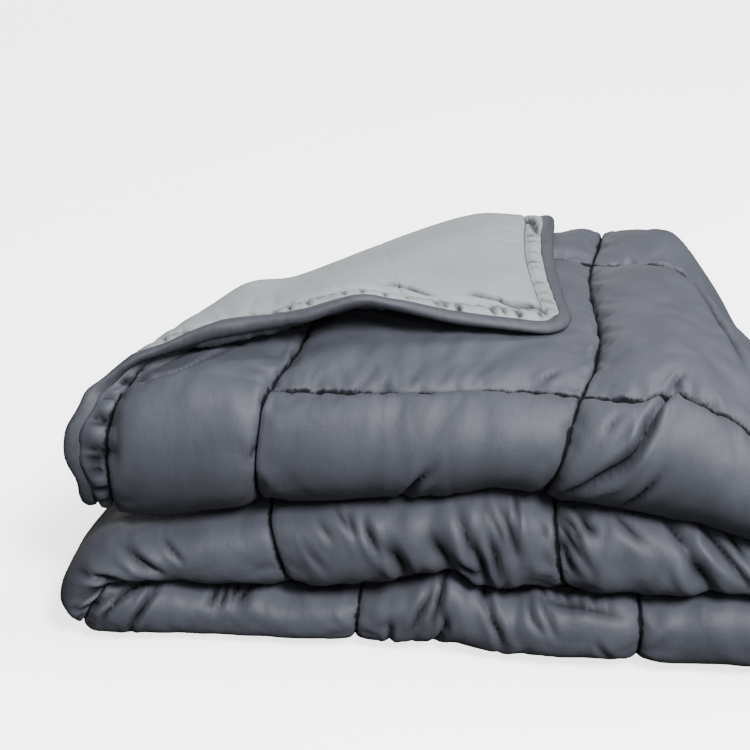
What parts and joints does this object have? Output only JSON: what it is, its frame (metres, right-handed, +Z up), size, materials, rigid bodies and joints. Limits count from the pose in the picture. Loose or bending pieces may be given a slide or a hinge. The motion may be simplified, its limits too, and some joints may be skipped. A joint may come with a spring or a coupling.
{
  "type": "lightweight duvet",
  "caption": "Quilted single duvet folded into a soft stack, dark face out, a corner turned over to show the pale reverse, edges bound.",
  "frame": {"origin": "on the floor, under the middle of the folded stack's bounding box", "axes": "+X along the stack's long front to the viewer's right, +Y from the front folds to the rear, +Z up"},
  "size_m": [0.6798, 0.4762, 0.3058],
  "materials": {
    "cover": "brushed microfibre, charcoal face with a pale grey reverse",
    "binding": "charcoal bias binding, slight sheen"
  },
  "bodies": {
    "root": {"duvet": "cover", "binding": "binding"}
  },
  "joints": []
}
